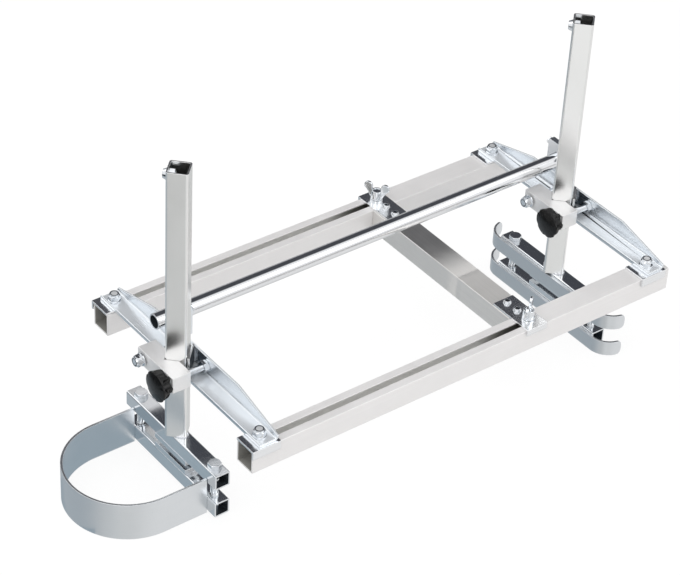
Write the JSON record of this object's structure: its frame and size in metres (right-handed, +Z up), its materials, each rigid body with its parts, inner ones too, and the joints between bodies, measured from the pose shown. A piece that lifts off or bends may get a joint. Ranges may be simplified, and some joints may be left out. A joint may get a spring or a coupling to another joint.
{
  "type": "chainsaw mill",
  "caption": "Plank-cutting frame for a chainsaw: two slotted rails with a brace and handle, on two height posts whose jaws grip the guide bar, with a nose guard and curled skids.",
  "frame": {"origin": "middle of the ground rectangle that the mill covers, on the ground", "axes": "+X along the rails, from the nose guard to the saw's end; +Y across them, towards the handle's side; +Z up"},
  "size_m": [0.743, 0.324, 0.4235],
  "materials": {
    "rail_aluminium": "mill",
    "brace_aluminium": "brushed",
    "block_aluminium": "machined",
    "zinc_sheet": "bright zinc",
    "zinc_tube": "zinc",
    "zinc_strip": "zinc",
    "post_steel": "zinc",
    "handle_steel": "bright zinc",
    "fastener": "bright zinc",
    "knob_plastic": "satin"
  },
  "bodies": {
    "frame": {"front_rail": "rail_aluminium", "back_rail": "rail_aluminium", "right_bracket": "zinc_sheet", "right_foot_plates": "zinc_sheet", "right_post_guide": "zinc_sheet", "right_rail_bolts": "fastener", "right_rail_nuts": "fastener", "right_weld_nut": "fastener", "right_hinge_bolt": "fastener", "right_hinge_nut": "fastener", "right_handle_clamp": "zinc_sheet", "right_pinch_bolt": "fastener", "handle": "handle_steel"},
    "left_end": {"left_bracket": "zinc_sheet", "left_foot_plates": "zinc_sheet", "left_post_guide": "zinc_sheet", "left_rail_bolts": "fastener", "left_rail_nuts": "fastener", "left_weld_nut": "fastener", "left_hinge_bolt": "fastener", "left_hinge_nut": "fastener", "left_handle_clamp": "zinc_sheet", "left_pinch_bolt": "fastener"},
    "brace": {"brace": "brace_aluminium", "front_brace_plate": "zinc_sheet", "back_brace_plate": "zinc_sheet", "brace_screws": "fastener", "brace_bolts": "fastener", "brace_washers": "fastener"},
    "front_wing_nut": {"front_wing_nut": "fastener"},
    "back_wing_nut": {"back_wing_nut": "fastener"},
    "left_post": {"left_post": "post_steel", "left_stop_bolt": "fastener", "left_upper_tube": "zinc_tube", "left_upper_pad": "zinc_tube", "left_clamp_bolts": "fastener"},
    "left_jaw": {"left_lower_tube": "zinc_tube", "left_lower_pad": "zinc_tube", "left_clamp_nuts": "fastener", "nose_guard": "zinc_strip"},
    "left_block": {"left_clamp_block": "block_aluminium"},
    "left_knob": {"left_knob": "knob_plastic", "left_knob_stud": "fastener", "left_knob_washer": "fastener"},
    "right_post": {"right_post": "post_steel", "right_stop_bolt": "fastener", "right_upper_tube": "zinc_tube", "right_upper_pad": "zinc_tube", "right_clamp_bolts": "fastener", "upper_skid": "zinc_strip"},
    "right_jaw": {"right_lower_tube": "zinc_tube", "right_lower_pad": "zinc_tube", "right_clamp_nuts": "fastener", "lower_skid": "zinc_strip"},
    "right_block": {"right_clamp_block": "block_aluminium"},
    "right_knob": {"right_knob": "knob_plastic", "right_knob_stud": "fastener", "right_knob_washer": "fastener"}
  },
  "joints": [
    {"name": "left_end_slide", "type": "slide", "parent": "frame", "child": "left_end", "axis": [1, 0, 0], "range_m": [0, 0.18]},
    {"name": "brace_slide", "type": "slide", "parent": "frame", "child": "brace", "axis": [1, 0, 0], "range_m": [-0.12, 0]},
    {"name": "front_wing_nut_turn", "type": "hinge", "parent": "brace", "child": "front_wing_nut", "pos_m": [0.1615, -0.1447, 0.153], "axis": [0, 0, 1], "continuous": true},
    {"name": "back_wing_nut_turn", "type": "hinge", "parent": "brace", "child": "back_wing_nut", "pos_m": [0.1615, 0.1447, 0.153], "axis": [0, 0, 1], "continuous": true},
    {"name": "left_post_slide", "type": "slide", "parent": "left_end", "child": "left_post", "axis": [0, 0, 1], "range_m": [-0.23, 0.08]},
    {"name": "left_jaw_slide", "type": "slide", "parent": "left_post", "child": "left_jaw", "axis": [0, 0, 1], "range_m": [0, 0.006]},
    {"name": "left_block_slide", "type": "slide", "parent": "left_end", "child": "left_block", "axis": [1, 0, 0], "range_m": [-0.00125, 0]},
    {"name": "left_knob_turn", "type": "hinge", "parent": "left_block", "child": "left_knob", "pos_m": [-0.26786, -0.0245, 0.16425], "axis": [1, 0, 0], "range_deg": [-360, 0]},
    {"name": "right_post_slide", "type": "slide", "parent": "frame", "child": "right_post", "axis": [0, 0, 1], "range_m": [-0.23, 0.08]},
    {"name": "right_jaw_slide", "type": "slide", "parent": "right_post", "child": "right_jaw", "axis": [0, 0, 1], "range_m": [0, 0.006]},
    {"name": "right_block_slide", "type": "slide", "parent": "frame", "child": "right_block", "axis": [1, 0, 0], "range_m": [-0.00125, 0]},
    {"name": "right_knob_turn", "type": "hinge", "parent": "right_block", "child": "right_knob", "pos_m": [0.29814, -0.0245, 0.16425], "axis": [1, 0, 0], "range_deg": [-360, 0]}
  ],
  "couplings": [
    {"joint": "left_knob_turn", "follows": "left_block_slide", "rad_per_m": 5026.5},
    {"joint": "right_knob_turn", "follows": "right_block_slide", "rad_per_m": 5026.5}
  ]
}
